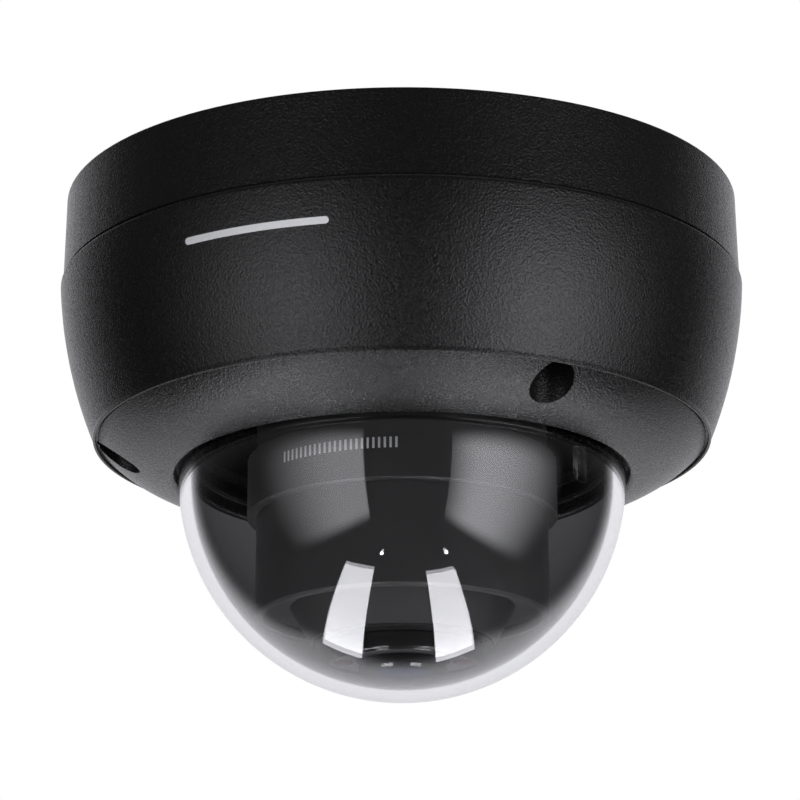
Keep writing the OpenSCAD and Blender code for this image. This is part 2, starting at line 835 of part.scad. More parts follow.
module tilt_cradle() {
    color(BLACK_COAT) difference() {
        union() {
            rod(cradle_r, cradle_top, cradle_low, ROUND);
            translate([-boss_out, 0, -tilt_depth]) rotate([0, 90, 0])
                cylinder(r = boss_r, h = 2 * boss_out, $fn = FINE);
        }
        rod(cradle_in_r, cradle_top - boss_r, flange_high, FINE);
        rod(flange_in_r, flange_high - 1, flange_deep + 1, FINE);
        rod(cradle_in_r, flange_deep, cradle_low + 1, FINE);
        translate([-boss_out - 1, 0, -tilt_depth]) rotate([0, 90, 0])
            cylinder(r = pivot_thread_r + thread_fit, h = 2 * boss_out + 2, $fn = 24);
    }
}

// Shoulder screws: the thread holds in the cradle, and the shoulder turns in the arm
module tilt_pivots() {
    color(STEEL) for (side = [-1, 1]) half_turn(side) translate([0, 0, -tilt_depth]) rotate([0, 90, 0])
        difference() {
            union() {
                translate([0, 0, cradle_in_r + 0.2])
                    cylinder(r = pivot_thread_r, h = boss_out - cradle_in_r, $fn = 24);
                translate([0, 0, boss_out])
                    cylinder(r = pivot_r, h = pivot_seat - boss_out, $fn = SMALL);
                translate([0, 0, pivot_seat]) cylinder(r = pivot_head_r, h = pivot_head_t, $fn = SMALL);
            }
            translate([0, 0, pivot_seat + 0.7]) cylinder(r = pivot_drive_r, h = pivot_head_t, $fn = 6);
        }
}

module tilt_washers() {
    color("#d8d4c8") for (side = [-1, 1]) half_turn(side) translate([boss_out, 0, -tilt_depth])
        rotate([0, 90, 0]) difference() {
            cylinder(r = boss_r - 0.2, h = washer_t, $fn = SMALL);
            translate([0, 0, -1]) cylinder(r = pivot_r + 0.1, h = washer_t + 2, $fn = SMALL);
        }
}

// Lens unit, which rotates in the cradle

// Tube that turns inside the cradle, with a neck through the cradle's inner flange
module lens_carrier() {
    color(BLACK_PLASTIC) difference() {
        rotate_extrude($fn = ROUND) polygon([
            [carrier_bore_r, -neck_top], [neck_r, -neck_top], [neck_r, -carrier_top],
            [carrier_r, -carrier_top], [carrier_r, -bezel_top], [bezel_in_r, -bezel_top],
            [bezel_in_r, -lamp_board_top], [carrier_bore_r, -lamp_board_top]
        ]);
        around(ring_screw_angles, ring_screw_pcr)
            rod(ring_screw_r + thread_fit, neck_top - 1, neck_top + ring_screw_l + 0.3, 24);
    }
}

// Ring that keeps the neck in the flange
module rotation_ring() {
    color(BLACK_PLASTIC) difference() {
        ring(carrier_r, carrier_bore_r, rotation_ring_top, neck_top);
        around(ring_screw_angles, ring_screw_pcr)
            rod(ring_screw_r + 0.1, rotation_ring_top - 1, neck_top + 1, 24);
    }
}

module ring_screws() {
    color(STEEL) around(ring_screw_angles, ring_screw_pcr)
        screw_down(ring_screw_r, ring_head_r, 0.9, rotation_ring_top, neck_top + ring_screw_l, 0.5);
}

// Glossy ring at the front, with a step inside that the front plate rests on
module front_bezel() {
    step_in_r = bezel_in_r - bezel_step;
    color(GLOSS_BLACK) rotate_extrude($fn = ROUND) polygon(concat(
        [[bezel_in_r, -bezel_top], [bezel_r - 0.3, -bezel_top], [bezel_r, -bezel_top - 0.3]],
        round_points([bezel_r - bezel_round, -bezel_low + bezel_round], bezel_round, 0, -90),
        [
            [bezel_in_r, -bezel_low], [bezel_in_r, -plate_top], [step_in_r, -plate_top],
            [step_in_r, -plate_top + bezel_ledge_t], [bezel_in_r, -plate_top + bezel_ledge_t]
        ]));
}

module front_plate() {
    color(BLACK_PLASTIC) difference() {
        rod(bezel_in_r - plate_fit, plate_top, plate_low, ROUND);
        rod(seal_out_r + 0.05, plate_top - 1, plate_low + 1, FINE);
        for (x = [-lamp_x, lamp_x])
            translate([x, 0, 0]) rod(lamp_r + lamp_fit, plate_top - 1, plate_low + 1);
    }
}

// Lens barrel: its thread holds in the lens mount, and its head carries the front lens
module lens_barrel() {
    seat_low = head_low - glass_seat;
    color(GLOSS_BLACK) rotate_extrude($fn = ROUND) polygon([
        [aperture_r, -barrel_top], [barrel_r, -barrel_top], [barrel_r, -head_top], [head_r, -head_top],
        [head_r, -head_low + 0.4], [head_r - 0.4, -head_low], [glass_r + 0.1, -head_low],
        [glass_r + 0.1, -seat_low], [glass_r - 0.6, -seat_low], [aperture_r, -seat_low + 4]
    ]);
}

// Front lens: a thin disc with a spherical face
module front_lens() {
    cap_r = (glass_r * glass_r + glass_bulge * glass_bulge) / (2 * glass_bulge);
    color([0.35, 0.3, 0.5, 0.6]) rotate_extrude($fn = ROUND) union() {
        intersection() {
            translate([0, -head_low - glass_bulge + cap_r]) circle(r = cap_r, $fn = ROUND);
            translate([0, -head_low - glass_bulge - 1]) square([glass_r + 1, glass_bulge + 1]);
        }
        translate([0, -head_low - JOIN]) square([glass_r, glass_seat + JOIN]);
    }
}

module lens_lock_ring() {
    color("#77797d") difference() {
        ring(seal_out_r, barrel_r + thread_fit, lens_mount_low + 0.2, lens_mount_low + 2.2);
        around([0, 90, 180, 270], seal_out_r) translate([0, 0, -lens_mount_low - 3])
            cube([1.2, 1.2, 4], center = true);
    }
}

module lens_seal() {
    color(RUBBER) ring(seal_out_r, barrel_r + 0.05, plate_top, plate_low);
}

// Holds the lens over the sensor, with a slot between them for the filter slider
module lens_mount() {
    color(BLACK_PLASTIC) difference() {
        union() {
            block(mount_box, [0, 0], mount_box_top, mount_box_low);
            rod(lens_mount_r, mount_box_low - JOIN, lens_mount_low, FINE);
        }
        rod(barrel_r + thread_fit, barrel_top - 0.3, lens_mount_low + 1, FINE);
        rod(aperture_r, mount_box_top + 1, barrel_top);
        block([14, 9], [0, 0], mount_box_top - 1, mount_box_top + sensor_t + sensor_room);
        block([filter_l + filter_travel + 0.4, filter_w + 2 * run_gap], [0, 0],
            filter_slot_top, filter_slot_top + filter_slot_t);
    }
}

module sensor_board() {
    color(BOARD_GREEN) block(sensor_board_size, [0, 0], sensor_board_top, mount_box_top);
}

module image_sensor() {
    color("#4d5a73") block(sensor_size, [0, 0], mount_box_top, mount_box_top + sensor_t);
}

// Infra-red filter, which slides aside at night

module filter_slider() {
    color("#3b3b3f") difference() {
        block([filter_l, filter_w], [-filter_travel / 2, 0], filter_slot_top + filter_gap,
            filter_slot_top + filter_gap + filter_t);
        for (x = [-filter_travel, 0]) translate([x, 0, 0])
            rod(filter_window_r, filter_slot_top, filter_slot_top + filter_slot_t);
    }
}

module filter_glasses() {
    color([0.9, 0.5, 0.45, 0.5]) for (x = [-filter_travel, 0]) translate([x, 0, 0])
        rod(filter_window_r - 0.02, filter_slot_top + filter_gap + 0.05,
            filter_slot_top + filter_gap + filter_t - 0.05);
}

module filter_solenoid() {
    color("#6b3f1d") block([8, 3.4], [0, mount_box[1] / 2 + 2.1], mount_box_top + 0.2,
        mount_box_low - 1.3);
}

// Infra-red lamps

module lamp_board() {
    color(BOARD_GREEN)
        ring(bezel_in_r - 0.4, lamp_board_in_r, lamp_board_top, lamp_board_top + lamp_board_t);
}

module lamp_emitters() {
    color("#e9d8a0") for (x = [-lamp_x, lamp_x])
        block([emitter_w, emitter_w], [x, 0], lamp_board_top + lamp_board_t,
            lamp_board_top + lamp_board_t + emitter_t);
}

module lamp_lenses() {
    color([0.25, 0.1, 0.12, 0.7]) for (x = [-lamp_x, lamp_x]) translate([x, 0, 0])
        rod(lamp_r, lamp_board_top + lamp_board_t + emitter_t + lamp_gap, plate_low + 0.2);
}

base_housing();
side_outlet_plug();
cable_grommet();
cover_gasket();
dome_cover();
cover_screws();
screw_seals();
bubble();
bubble_gasket();
bubble_retainer();
retainer_screws();
safety_lanyard();
lanyard_screws();
main_board();
board_screws();
image_processor();
thermal_pad();
network_transformer();
capacitors();
board_connectors();
sd_card_slot();
reset_switch();
reset_button();
sensor_flex();
turret_base();
turret_screws();
friction_ring();
pan_retainer();
pan_bracket();
turret_drum();
drum_screws();
tilt_cradle();
tilt_pivots();
tilt_washers();
lens_carrier();
rotation_ring();
ring_screws();
front_bezel();
front_plate();
lens_barrel();
front_lens();
lens_lock_ring();
lens_seal();
lens_mount();
sensor_board();
image_sensor();
filter_slider();
filter_glasses();
filter_solenoid();
lamp_board();
lamp_emitters();
lamp_lenses();
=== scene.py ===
"""Looks of a ceiling dome camera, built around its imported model.

The camera hangs from a ceiling in -Z, with its front towards -Y. Everything is in metres.
"""

from __future__ import annotations

import logging
import math
from abc import ABC, abstractmethod
from collections.abc import Callable, Sequence
from dataclasses import dataclass, field
from enum import Enum
from typing import Any

import bmesh
import bpy
from mathutils import Matrix, Vector

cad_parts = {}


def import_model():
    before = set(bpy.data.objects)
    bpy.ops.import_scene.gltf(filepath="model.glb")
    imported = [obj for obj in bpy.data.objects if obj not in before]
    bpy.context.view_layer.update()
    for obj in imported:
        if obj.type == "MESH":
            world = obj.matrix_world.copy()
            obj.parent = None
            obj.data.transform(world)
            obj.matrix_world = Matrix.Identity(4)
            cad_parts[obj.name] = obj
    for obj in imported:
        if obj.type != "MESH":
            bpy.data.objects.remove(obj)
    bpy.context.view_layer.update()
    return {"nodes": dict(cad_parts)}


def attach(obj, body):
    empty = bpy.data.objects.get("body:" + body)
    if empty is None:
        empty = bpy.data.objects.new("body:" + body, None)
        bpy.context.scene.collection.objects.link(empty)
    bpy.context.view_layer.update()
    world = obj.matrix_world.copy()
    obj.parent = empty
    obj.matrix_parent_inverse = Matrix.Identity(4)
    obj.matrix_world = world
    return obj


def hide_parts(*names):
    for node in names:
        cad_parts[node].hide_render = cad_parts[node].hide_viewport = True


LOG = logging.getLogger("dome_camera")
MM = 0.001
CREASE = math.radians(32)
WELD = 1e-6

Colour = tuple[float, float, float, float]
Point = tuple[float, float]
Place = tuple[float, float, float]


def grey(value: float) -> Colour:
    """A neutral grey of a linear value."""
    return (value, value, value, 1.0)


def scaled(colour: Colour, share: float) -> Colour:
    """A colour made darker, or lighter where share is more than 1."""
    red, green, blue = (min(1.0, part * share) for part in colour[:3])
    return (red, green, blue, 1.0)


# Shader maths


class Num:
    """A number that varies over a surface, which Python's operators work on."""

    def __init__(self, tree: NodeTree, socket: bpy.types.NodeSocket) -> None:
        """Wraps an output socket of a tree."""
        self.tree = tree
        self.socket = socket

    def maths(self, operation: str, *others: Num | float, clamp: bool = False) -> Num:
        """Adds a Math node.

        Args:
            operation: the Math node's operation.
            others: its other operands.
            clamp: whether the result is kept from 0 to 1.

        Returns:
            The node's result.
        """
        inputs = dict(enumerate((self, *others)))
        settings = {"operation": operation, "use_clamp": clamp}
        return self.tree.number("ShaderNodeMath", settings, inputs)

    def __add__(self, other: Num | float) -> Num:
        """self + other."""
        return self.maths("ADD", other)

    __radd__ = __add__

    def __sub__(self, other: Num | float) -> Num:
        """self - other."""
        return self.maths("SUBTRACT", other)

    def __rsub__(self, other: float) -> Num:
        """other - self."""
        return (self * -1.0) + other

    def __mul__(self, other: Num | float) -> Num:
        """self * other."""
        return self.maths("MULTIPLY", other)

    __rmul__ = __mul__

    def __truediv__(self, other: Num | float) -> Num:
        """self / other."""
        return self.maths("DIVIDE", other)

    def __pow__(self, other: float) -> Num:
        """self to the power of other."""
        return self.maths("POWER", other)

    def over(self, edge: float) -> Num:
        """1 where self is more than edge, and 0 elsewhere."""
        return self.maths("GREATER_THAN", edge)

    def under(self, edge: float) -> Num:
        """1 where self is less than edge, and 0 elsewhere."""
        return self.maths("LESS_THAN", edge)

    def fract(self) -> Num:
        """The part of self after the point."""
        return self.maths("FRACT")

    def size(self) -> Num:
        """self without its sign."""
        return self.maths("ABSOLUTE")

    def swing(self) -> Num:
        """How far self's part after the point is from a half: 0.5 at each whole number."""
        return (self.fract() - 0.5).size()

    def ramp(self, low: float, high: float, start: float = 0.0, end: float = 1.0) -> Num:
        """self's way from low to high, smoothed and scaled.

        Args:
            low: the value that gives start.
            high: the value that gives end.
            start: the result at low and before it.
            end: the result at high and past it.

        Returns:
            The eased number.
        """
        settings = {"interpolation_type": "SMOOTHSTEP"}
        inputs = {0: self, 1: low, 2: high, 3: start, 4: end}
        return self.tree.number("ShaderNodeMapRange", settings, inputs)


SocketValue = Num | float | Sequence[float] | bpy.types.NodeSocket


class NodeTree:
    """The nodes of a material, a light, the surround or a geometry group."""

    def __init__(self, tree: bpy.types.NodeTree) -> None:
        """Empties a tree of Blender's."""
        self.nodes = tree.nodes
        self.links = tree.links
        self.nodes.clear()

    def node(
        self,
        kind: str,
        settings: dict[str, Any] | None = None,
        inputs: dict[str | int, SocketValue] | None = None,
    ) -> bpy.types.Node:
        """Adds a node.

        Args:
            kind: the node's type.
            settings: the node's own properties, set before its sockets.
            inputs: a value or a link for each named or numbered socket.

        Returns:
            The new node.
        """
        made = self.nodes.new(kind)
        for name, value in (settings or {}).items():
            setattr(made, name, value)
        for key, value in (inputs or {}).items():
            self.feed(made.inputs[key], value)
        return made

    def feed(self, socket: bpy.types.NodeSocket, value: SocketValue) -> None:
        """Links or sets one input."""
        if isinstance(value, Num):
            self.links.new(value.socket, socket)
        elif isinstance(value, bpy.types.NodeSocket):
            self.links.new(value, socket)
        else:
            socket.default_value = value

    def number(
        self,
        kind: str,
        settings: dict[str, Any] | None = None,
        inputs: dict[str | int, SocketValue] | None = None,
    ) -> Num:
        """Adds a node and returns its first output as a number."""
        return Num(self, self.node(kind, settings, inputs).outputs[0])

    def split(self, vector: bpy.types.NodeSocket) -> tuple[Num, Num, Num]:
        """A vector's x, y and z."""
        parts = self.node("ShaderNodeSeparateXYZ", None, {0: vector}).outputs
        return tuple(Num(self, part) for part in parts)

    def blend(self, share: Num | float, first: SocketValue, second: SocketValue) -> SocketValue:
        """A colour on the way from first to second."""
        inputs = {0: share, 6: first, 7: second}
        return self.node("ShaderNodeMix", {"data_type": "RGBA"}, inputs).outputs[2]


def own_tree(owner: bpy.types.ID) -> NodeTree:
    """The emptied tree of a light or of the surround."""
    owner.use_nodes = True
    return NodeTree(owner.node_tree)


class ShaderTree(NodeTree):
    """A material's nodes, around one Principled shader."""

    def __init__(self, name: str) -> None:
        """Makes an empty material with a shader and an output."""
        self.material = bpy.data.materials.new(name)
        self.material.use_nodes = True
        super().__init__(self.material.node_tree)
        self.shader = self.node("ShaderNodeBsdfPrincipled")
        self.output = self.node("ShaderNodeOutputMaterial")
        self.links.new(self.shader.outputs[0], self.output.inputs[0])
        self.place = self.node("ShaderNodeTexCoord").outputs["Object"]

    def set(self, **values: SocketValue) -> None:
        """Sets or links the shader's sockets, named in lower case with underscores."""
        by_name = {s.name.lower().replace(" ", "_"): s for s in self.shader.inputs}
        for name, value in values.items():
            self.feed(by_name[name], value)

    def noise(
        self,
        grain: float,
        detail: float = 2.0,
        stretch: Sequence[float] = (1, 1, 1),
        roughness: float = 0.5,
    ) -> Num:
        """Cloudy noise on the object's own place.

        Args:
            grain: the size of its patches, in metres.
            detail: how many finer layers it has.
            stretch: how much longer the patches are along x, y and z.
            roughness: how strong the finer layers are.

        Returns:
            The noise, about 0.5 on average.
        """
        scale = [1 / (grain * s) for s in stretch]
        mapped = self.node("ShaderNodeMapping", None, {"Vector": self.place, "Scale": scale})
        inputs = {
            "Vector": mapped.outputs[0],
            "Scale": 1.0,
            "Detail": detail,
            "Roughness": roughness,
        }
        return self.number("ShaderNodeTexNoise", None, inputs)

    def cells(self, grain: float) -> Num:
        """Distance to the nearest of many scattered points about grain metres apart."""
        inputs = {"Vector": self.place, "Scale": 1 / grain}
        return self.number("ShaderNodeTexVoronoi", None, inputs)

    def axes(self) -> tuple[Num, Num, Num]:
        """The object's x, y and z as numbers, in metres."""
        return self.split(self.place)

    def bump(self, height: Num, depth: float) -> None:
        """Raises the surface by a height from 0 to 1 times depth metres."""
        inputs = {"Height": height, "Distance": depth, "Strength": 1.0}
        self.set(normal=self.node("ShaderNodeBump", None, inputs).outputs[0])

    def let_light_in(self) -> None:
        """Lets light pass straight through, so that it reaches what the clear piece shuts in."""
        path = self.node("ShaderNodeLightPath").outputs["Is Shadow Ray"]
        through = self.node("ShaderNodeBsdfTransparent", None, {0: grey(0.9)})
        inputs = {0: path, 1: self.shader.outputs[0], 2: through.outputs[0]}
        mix = self.node("ShaderNodeMixShader", None, inputs)
        self.links.new(mix.outputs[0], self.output.inputs[0])


# Finishes


class Recipe(ABC):
    """How one finish is made."""

    @abstractmethod
    def paint(self, tree: ShaderTree) -> None:
        """Adds the finish's nodes."""

    def make(self, name: str) -> bpy.types.Material:
        """Builds the finish as a material of this name."""
        tree = ShaderTree(name)
        self.paint(tree)
        return tree.material


@dataclass(frozen=True)
class PowderCoat(Recipe):
    """Fine black powder coat on cast metal: a dense grain of small beads under a satin sheen."""

    colour: float = 0.0045
    roughness: float = 0.27
    grain: float = 0.34 * MM
    depth: float = 0.13 * MM

    def paint(self, tree: ShaderTree) -> None:
        """Adds the finish's nodes."""
        beads = tree.noise(self.grain, detail=1.5)
        fine = tree.noise(self.grain * 0.45, detail=1.0)
        cloud = tree.noise(14 * MM, detail=3.0)
        rub = tree.noise(3.2 * MM, detail=4.0).ramp(0.6, 0.78)
        tone = tree.blend(cloud, grey(self.colour * 0.86), grey(self.colour * 1.14))
        tone = tree.blend(fine.ramp(0.62, 0.8) * 0.5, tone, grey(self.colour * 2.6))
        tree.set(
            base_color=tone,
            roughness=beads.ramp(0.3, 0.7, self.roughness + 0.07, self.roughness - 0.05)
            + rub * 0.05,
            specular_ior_level=0.33,
        )
        tree.bump(beads * 0.75 + fine * 0.25, self.depth)


@dataclass(frozen=True)
class MouldedPlastic(Recipe):
    """Moulded plastic with the fine spark texture of its tool."""

    colour: Colour
    roughness: float = 0.5
    grain: float = 0.25 * MM
    depth: float = 0.003 * MM

    def paint(self, tree: ShaderTree) -> None:
        """Adds the finish's nodes."""
        spark = tree.noise(self.grain, detail=2.0)
        flow = tree.noise(9 * MM, detail=2.0)
        tree.set(
            base_color=tree.blend(flow, scaled(self.colour, 0.85), scaled(self.colour, 1.12)),
            roughness=flow.ramp(0.3, 0.7, self.roughness - 0.04, self.roughness + 0.05),
        )
        tree.bump(spark, self.depth)


@dataclass(frozen=True)
class PolishedBlack(Recipe):
    """Polished black plastic under a clear coat, with the least trace of dust."""

    colour: float = 0.006
    roughness: float = 0.09

    def paint(self, tree: ShaderTree) -> None:
        """Adds the finish's nodes."""
        haze = tree.noise(5 * MM, detail=4.0)
        dust = tree.noise(0.3 * MM, detail=2.0).ramp(0.74, 0.84)
        tree.set(
            base_color=tree.blend(dust * 0.5, grey(self.colour), grey(0.12)),
            roughness=haze.ramp(0.35, 0.7, self.roughness, self.roughness + 0.06) + dust * 0.2,
            coat_weight=0.4,
            coat_roughness=0.04,
        )
        tree.bump(haze, 0.01 * MM)


@dataclass(frozen=True)
class BlackRubber(Recipe):
    """Black rubber with a dry bloom in patches."""

    colour: float = 0.016

    def paint(self, tree: ShaderTree) -> None:
        """Adds the finish's nodes."""
        bloom = tree.noise(2.5 * MM, detail=5.0, roughness=0.6)
        skin = tree.noise(0.22 * MM, detail=2.0)
        tree.set(
            base_color=tree.blend(bloom.ramp(0.4, 0.75), grey(self.colour), grey(0.034)),
            roughness=bloom.ramp(0.3, 0.7, 0.62, 0.8),
            specular_ior_level=0.35,
        )
        tree.bump(skin * 0.6 + bloom * 0.4, 0.04 * MM)


@dataclass(frozen=True)
class TurnedSteel(Recipe):
    """Stainless steel with fine turning lines round each head's own height."""

    colour: Colour = (0.56, 0.57, 0.6, 1.0)
    roughness: float = 0.28

    def paint(self, tree: ShaderTree) -> None:
        """Adds the finish's nodes."""
        lines = tree.noise(0.12 * MM, detail=2.0, stretch=(12, 12, 1))
        stain = tree.noise(1.6 * MM, detail=3.0)
        tree.set(
            base_color=tree.blend(stain, scaled(self.colour, 0.72), self.colour),
            metallic=1.0,
            roughness=lines.ramp(0.3, 0.7, self.roughness - 0.07, self.roughness + 0.1),
        )
        tree.bump(lines, 0.008 * MM)


@dataclass(frozen=True)
class ClearPlastic(Recipe):
    """Clear polished polycarbonate, with a few hair-fine wiping marks in its surface."""

    ior: float = 1.585

    def paint(self, tree: ShaderTree) -> None:
        """Adds the finish's nodes."""
        wipe = tree.noise(0.5 * MM, detail=2.0, stretch=(14, 2, 14)).ramp(0.7, 0.82)
        tree.set(
            base_color=(0.97, 0.975, 0.98, 1.0),
            roughness=wipe * 0.025 + 0.004,
            ior=self.ior,
            transmission_weight=1.0,
        )
        tree.let_light_in()


@dataclass(frozen=True)
class CoatedGlass(Recipe):
    """A lens under its purple and green anti-reflection coating."""

    edge: Colour = (0.022, 0.03, 0.04, 1.0)
    middle: Colour = (0.016, 0.01, 0.03, 1.0)

    def paint(self, tree: ShaderTree) -> None:
        """Adds the finish's nodes."""
        x, y, _ = tree.axes()
        reach = (x * x + y * y) ** 0.5
        speck = tree.noise(0.35 * MM, detail=2.0).ramp(0.76, 0.84)
        tint = tree.blend(reach.ramp(1.5 * MM, 4.6 * MM), self.middle, self.edge)
        tree.set(
            base_color=tree.blend(speck * 0.4, tint, grey(0.2)),
            roughness=speck * 0.2 + 0.03,
            ior=1.7,
            coat_weight=1.0,
            coat_roughness=0.02,
            coat_tint=(0.75, 0.7, 1.0, 1.0),
        )


@dataclass(frozen=True)
class TintedWindow(Recipe):
    """A small dark window, glossy and nearly opaque to sight."""

    colour: Colour
    ring: float = 0.35 * MM

    def paint(self, tree: ShaderTree) -> None:
        """Adds the finish's nodes."""
        *_, z = tree.axes()
        depth = tree.noise(1.2 * MM, detail=2.0)
        tree.set(
            base_color=tree.blend(depth, scaled(self.colour, 0.35), self.colour),
            roughness=depth.ramp(0.3, 0.8, 0.05, 0.12),
            coat_weight=0.6,
            coat_roughness=0.03,
        )
        tree.bump((z / self.ring).swing(), 0.01 * MM)


@dataclass(frozen=True)
class CircuitBoard(Recipe):
    """Green solder mask over copper tracks, with tinned pads in rows."""

    mask: Colour = (0.012, 0.085, 0.035, 1.0)
    track: Colour = (0.03, 0.17, 0.07, 1.0)
    pitch: float = 1.27 * MM
    track_share: float = 0.14

    def paint(self, tree: ShaderTree) -> None:
        """Adds the finish's nodes."""
        x, y, _ = tree.axes()
        drift = tree.noise(6 * MM, detail=1.0) * 3.0
        lane, cross = ((n / self.pitch + drift).swing().under(self.track_share) for n in (x, y))
        region = tree.noise(5 * MM, detail=0.0).over(0.5)
        tracks = lane * region + cross * (1 - region)
        pads = tree.cells(self.pitch * 1.5).under(0.2)
        copper = tree.blend(tracks, self.mask, self.track)
        tree.set(
            base_color=tree.blend(pads, copper, (0.62, 0.6, 0.56, 1.0)),
            metallic=pads,
            roughness=0.34 + tracks * 0.05,
        )
        tree.bump(tracks * 0.6 + pads * 0.4, 0.03 * MM)


@dataclass(frozen=True)
class ChipPackage(Recipe):
    """Moulded black package, with the faint sheen of a marked top."""

    colour: float = 0.014
    patch: float = 1.1 * MM

    def paint(self, tree: ShaderTree) -> None:
        """Adds the finish's nodes."""
        grit = tree.noise(0.09 * MM, detail=2.0)
        patch = tree.noise(self.patch, detail=2.0)
        tree.set(
            base_color=tree.blend(patch, grey(self.colour), grey(self.colour * 1.9)),
            roughness=patch.ramp(0.3, 0.7, 0.42, 0.6),
        )
        tree.bump(grit, 0.01 * MM)


@dataclass(frozen=True)
class CapacitorSleeve(Recipe):
    """Dark shrunk sleeve round a can whose bare end shows as metal."""

    sleeve: Colour = (0.012, 0.015, 0.035, 1.0)

    def paint(self, tree: ShaderTree) -> None:
        """Adds the finish's nodes."""
        *_, facing_up = tree.split(tree.node("ShaderNodeNewGeometry").outputs["Normal"])
        end = facing_up.size().over(0.8)
        wrinkle = tree.noise(0.8 * MM, detail=3.0, stretch=(1, 1, 5))
        tree.set(
            base_color=tree.blend(end, self.sleeve, (0.6, 0.6, 0.62, 1.0)),
            metallic=end,
            roughness=wrinkle.ramp(0.3, 0.7, 0.25, 0.4),
        )
        tree.bump(wrinkle, 0.03 * MM)


@dataclass(frozen=True)
class StripedFilm(Recipe):
    """Amber film with parallel copper lines under it."""

    film: Colour = (0.42, 0.2, 0.035, 1.0)
    copper: Colour = (0.62, 0.3, 0.1, 1.0)
    pitch: float = 0.5 * MM

    def paint(self, tree: ShaderTree) -> None:
        """Adds the finish's nodes."""
        x, *_ = tree.axes()
        line = (x / self.pitch).swing().ramp(0.2, 0.26)
        sheen = tree.noise(2 * MM, detail=2.0)
        tree.set(
            base_color=tree.blend(line, self.copper, self.film),
            roughness=sheen.ramp(0.3, 0.7, 0.28, 0.42),
        )
        tree.bump(line, 0.015 * MM)


@dataclass(frozen=True)
class WoundCopper(Recipe):
    """Enamelled wire in close turns, with painted shade darkening the grooves where the turns
    meet.
    """

    colour: Colour = (0.5, 0.19, 0.07, 1.0)
    wire: float = 0.18 * MM

    def paint(self, tree: ShaderTree) -> None:
        """Adds the finish's nodes."""
        *_, z = tree.axes()
        turn = (z / self.wire).swing() * 2.0
        tree.set(
            # Painted shade: the copper colour darkens to 0.3 of itself towards the groove
            # between two turns.
            base_color=tree.blend(turn.ramp(0.5, 1.0), self.colour, scaled(self.colour, 0.3)),
            metallic=0.8,
            roughness=turn.ramp(0.0, 1.0, 0.25, 0.45),
        )
        tree.bump(1 - turn * turn, 0.05 * MM)


@dataclass(frozen=True)
class LitPhosphor(Recipe):
    """Yellow emitter face in a pale ceramic frame."""

    colour: Colour = (0.75, 0.6, 0.16, 1.0)

    def paint(self, tree: ShaderTree) -> None:
        """Adds the finish's nodes."""
        grain = tree.cells(0.12 * MM)
        tree.set(
            base_color=tree.blend(grain.ramp(0.1, 0.6), self.colour, (0.85, 0.78, 0.5, 1.0)),
            roughness=grain.ramp(0.0, 0.6, 0.5, 0.7),
        )
        tree.bump(grain, 0.01 * MM)


@dataclass(frozen=True)
class SilverInk(Recipe):
    """Silver ink printed on the coat, following its grain."""

    colour: Colour = (0.68, 0.69, 0.7, 1.0)

    def paint(self, tree: ShaderTree) -> None:
        """Adds the finish's nodes."""
        beads = tree.noise(0.42 * MM, detail=1.5)
        flake = tree.noise(0.12 * MM, detail=1.0)
        tree.set(
            base_color=tree.blend(flake, grey(0.55), self.colour),
            metallic=0.2,
            roughness=flake.ramp(0.3, 0.7, 0.4, 0.55),
        )
        tree.bump(beads, 0.03 * MM)


class Finish(Enum):
    """Every finish on the camera, under the name of its material."""

    COAT = ("powder_coat", PowderCoat())
    COAT_INSIDE = ("cradle_coat", PowderCoat(colour=0.014, grain=0.3 * MM, roughness=0.48))
    TURRET = ("turret_plastic", MouldedPlastic(grey(0.011)))
    GLOSS = ("polished_black", PolishedBlack())
    RUBBER = ("black_rubber", BlackRubber())
    STEEL = ("turned_steel", TurnedSteel())
    CLEAR = ("clear_bubble", ClearPlastic())
    LENS = ("coated_glass", CoatedGlass())
    LAMP = ("lamp_window", TintedWindow((0.05, 0.008, 0.012, 1.0)))
    FILTER = ("filter_window", TintedWindow((0.4, 0.12, 0.16, 1.0)))
    BOARD = ("circuit_board", CircuitBoard())
    CHIP = ("chip_package", ChipPackage())
    SLEEVE = ("capacitor_sleeve", CapacitorSleeve())
    NYLON = ("natural_nylon", MouldedPlastic((0.62, 0.59, 0.5, 1.0), roughness=0.45))
    FILM = ("amber_film", StripedFilm())
    PAD = ("thermal_pad", MouldedPlastic((0.2, 0.3, 0.42, 1.0), roughness=0.8, depth=0.03 * MM))
    BUTTON = ("red_button", MouldedPlastic((0.42, 0.025, 0.02, 1.0), roughness=0.4))
    COPPER = ("wound_copper", WoundCopper())
    EMITTER = ("emitter_face", LitPhosphor())
    INK = ("silver_ink", SilverInk())
    TICK = ("tick_ink", MouldedPlastic(grey(0.4), roughness=0.6))


class Paintbox:
    """Makes each finish once, when it is first used."""

    def __init__(self) -> None:
        """Starts with no finish made."""
        self._made: dict[Finish, bpy.types.Material] = {}

    def material(self, finish: Finish) -> bpy.types.Material:
        """The material of a finish."""
        if finish not in self._made:
            name, recipe = finish.value
            self._made[finish] = recipe.make(name)
        return self._made[finish]

    def dress(self, obj: bpy.types.Object, finish: Finish) -> None:
        """Gives every slot of an object one finish."""
        material = self.material(finish)
        if not obj.material_slots:
            obj.data.materials.append(material)
        for slot in obj.material_slots:
            slot.material = material


# Outlines and meshes


def polar(radius: float, degrees: float) -> Point:
    """The x and y of a point at an angle on a circle."""
    turn = math.radians(degrees)
    return (radius * math.cos(turn), radius * math.sin(turn))


